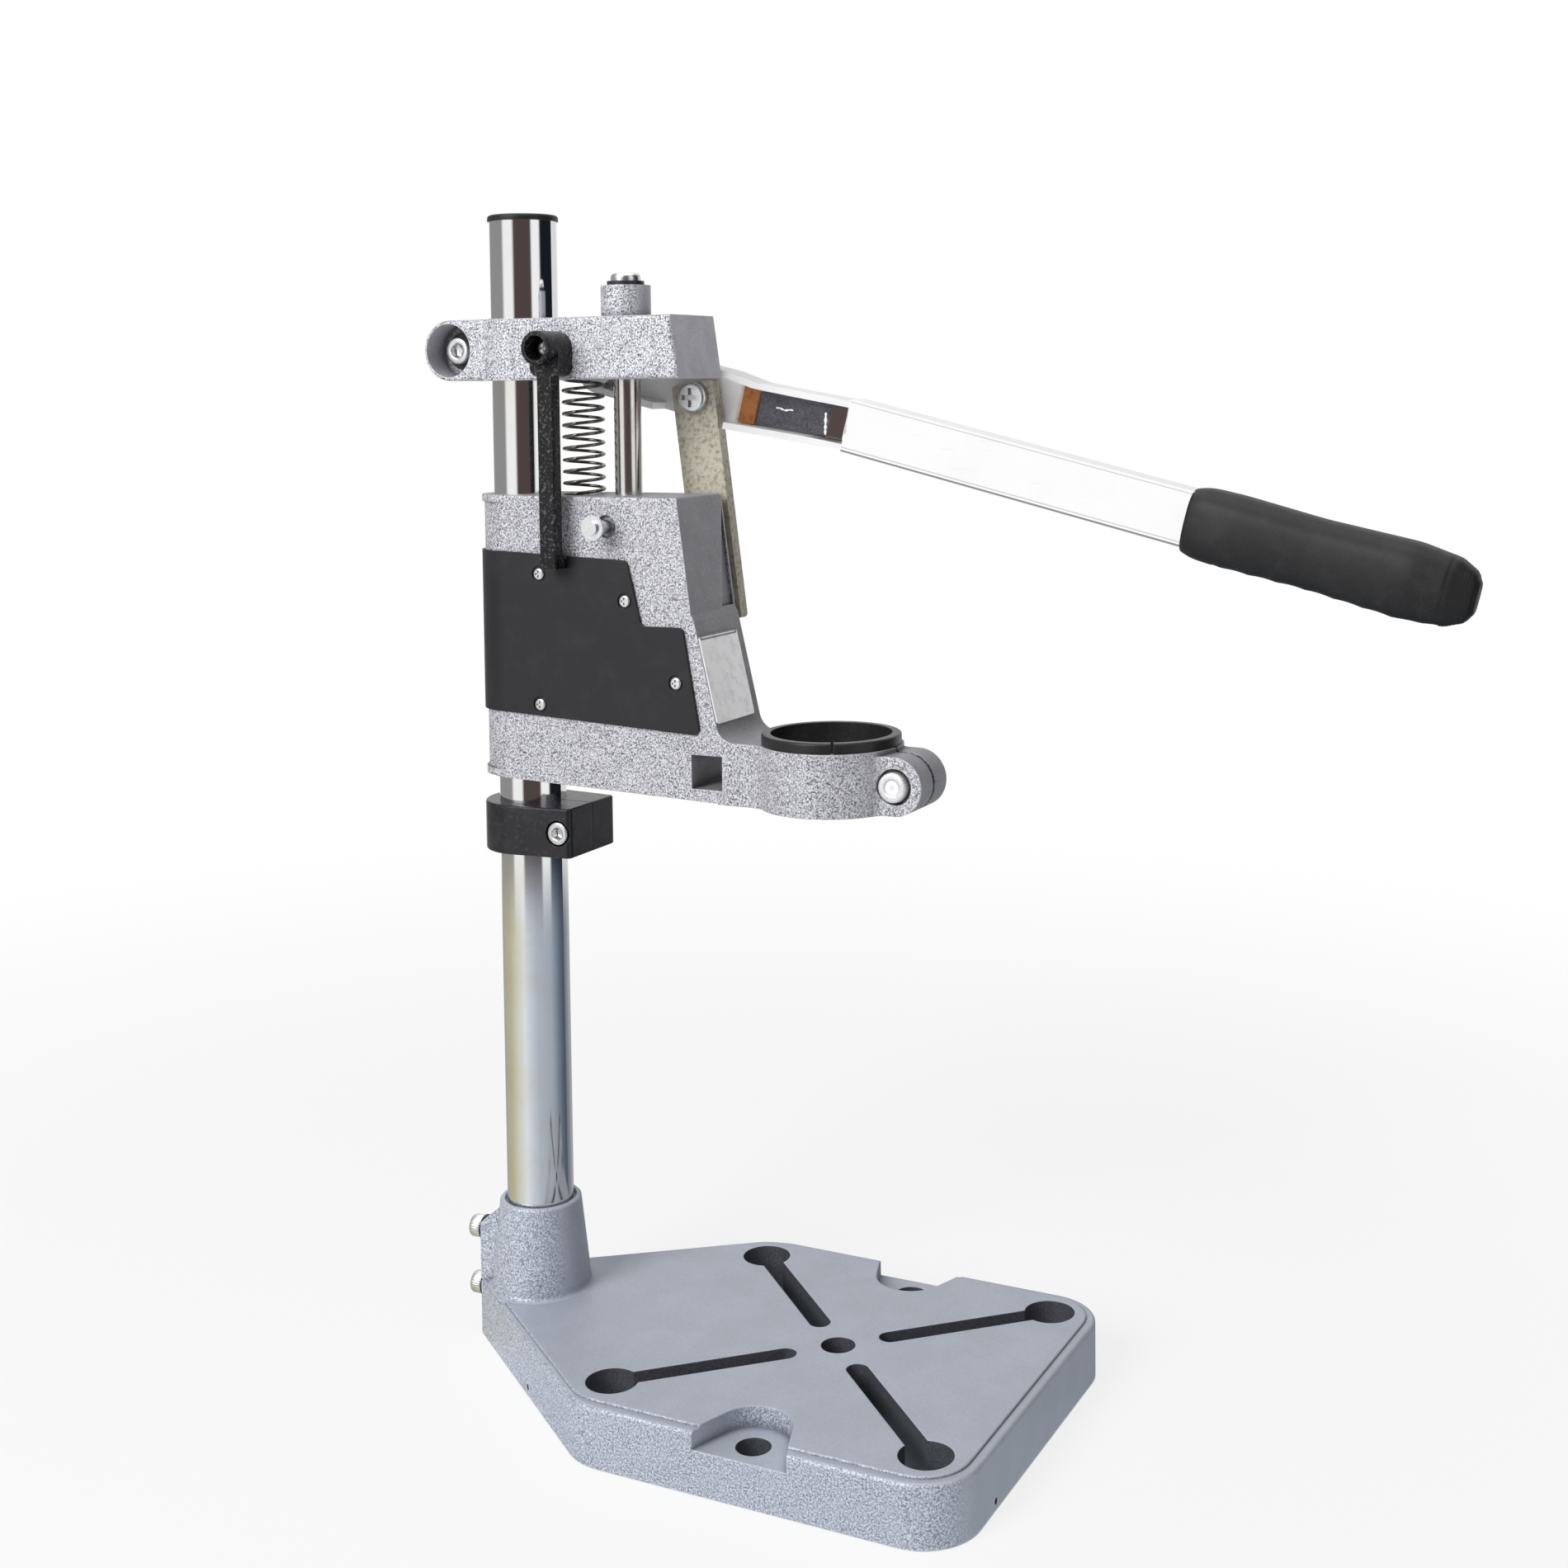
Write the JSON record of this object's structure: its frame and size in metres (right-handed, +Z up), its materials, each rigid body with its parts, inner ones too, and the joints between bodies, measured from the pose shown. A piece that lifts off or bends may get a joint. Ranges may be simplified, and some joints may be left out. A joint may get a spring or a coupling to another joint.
{
  "type": "drill stand",
  "caption": "Bench stand for a hand drill: slotted base, round column, clamped head, lever and link that slide a carriage with a clamp collar, return spring and stop collar.",
  "frame": {"origin": "on the column's axis, in the plane that the base stands on", "axes": "+X from the column to the drill's collar, +Y to the lever's side, +Z up"},
  "size_m": [0.3753, 0.1464, 0.4283],
  "materials": {
    "base_paint": "silver-grey hammertone paint on a light alloy casting",
    "head_paint": "silver-grey hammertone paint on a light alloy casting",
    "carriage_paint": "silver-grey hammertone paint on a light alloy casting",
    "column_chrome": "chromed tube with faint yellow staining",
    "cap_black": "black moulded cap",
    "stop_black": "glossy black enamel",
    "cover_black": "satin charcoal sheet",
    "liner_black": "satin black moulded ring",
    "arm_black": "rough black casting",
    "zinc": "bright zinc plated fasteners",
    "washer_black": "blackened washers",
    "rod_steel": "ground steel rod",
    "spring_steel": "drawn spring wire",
    "link_zinc": "yellow passivated steel with mottled wear",
    "lever_zinc": "plated pressed steel",
    "bar_chrome": "bright chromed bar",
    "strip_brown": "brown welded strip",
    "grip_black": "black moulded grip",
    "label_silver": "bare silver plate"
  },
  "bodies": {
    "base": {"base_casting": "base_paint", "set_screws": "zinc", "set_screw_washers": "washer_black"},
    "column": {"column_tube": "column_chrome", "column_cap": "cap_black"},
    "stop": {"stop_collar": "stop_black", "stop_collar_screw": "zinc"},
    "head": {"head_casting": "head_paint", "head_clamp_screw": "zinc", "head_clamp_washers": "washer_black", "head_clamp_nut": "zinc", "guide_rod": "rod_steel", "guide_rod_washer": "washer_black", "guide_rod_screw": "zinc", "depth_arm": "arm_black", "depth_arm_screw": "zinc", "fulcrum_bush": "zinc", "fulcrum_screw": "zinc", "return_spring": "spring_steel"},
    "carriage": {"carriage_casting": "carriage_paint", "cover_plate": "cover_black", "cover_screws": "zinc", "lock_screw": "zinc", "label_plate": "label_silver", "collar_liner": "liner_black", "collar_screw": "zinc", "collar_nut": "zinc", "link_pivot_screw": "zinc"},
    "lever": {"lever_channel": "lever_zinc", "neck_strip": "strip_brown", "neck_plate": "lever_zinc", "lever_bar": "bar_chrome", "lever_grip": "grip_black", "link_pin_screw": "zinc", "link_pin_washer": "zinc", "link_pin_nut": "zinc"},
    "link": {"link_bar": "link_zinc"}
  },
  "joints": [
    {"name": "column_swivel", "type": "hinge", "parent": "base", "child": "column", "pos_m": [0, 0, 0.03], "axis": [0, 0, 1], "continuous": true},
    {"name": "head_slide", "type": "slide", "parent": "column", "child": "head", "axis": [0, 0, 1], "range_m": [0, 0.03]},
    {"name": "stop_collar_slide", "type": "slide", "parent": "column", "child": "stop", "axis": [0, 0, 1], "range_m": [-0.13, 0.0045]},
    {"name": "carriage_slide", "type": "slide", "parent": "head", "child": "carriage", "axis": [0, 0, 1], "range_m": [-0.0042, 0.03], "stiffness_N_per_m": 260, "springref_m": 0.035, "deforming": ["return_spring"]},
    {"name": "lever_swing", "type": "hinge", "parent": "head", "child": "lever", "pos_m": [0.022, 0.023, 0.3723], "axis": [0, -1, 0], "range_deg": [-5.96, 42.6]},
    {"name": "link_swing", "type": "hinge", "parent": "lever", "child": "link", "pos_m": [0.06098, 0.0225, 0.36], "axis": [0, -1, 0], "range_deg": [-42.54, 5.96]}
  ],
  "couplings": [
    {"joint": "lever_swing", "follows": "carriage_slide", "rad_per_m": 24.784},
    {"joint": "link_swing", "follows": "carriage_slide", "rad_per_m": -24.749}
  ]
}
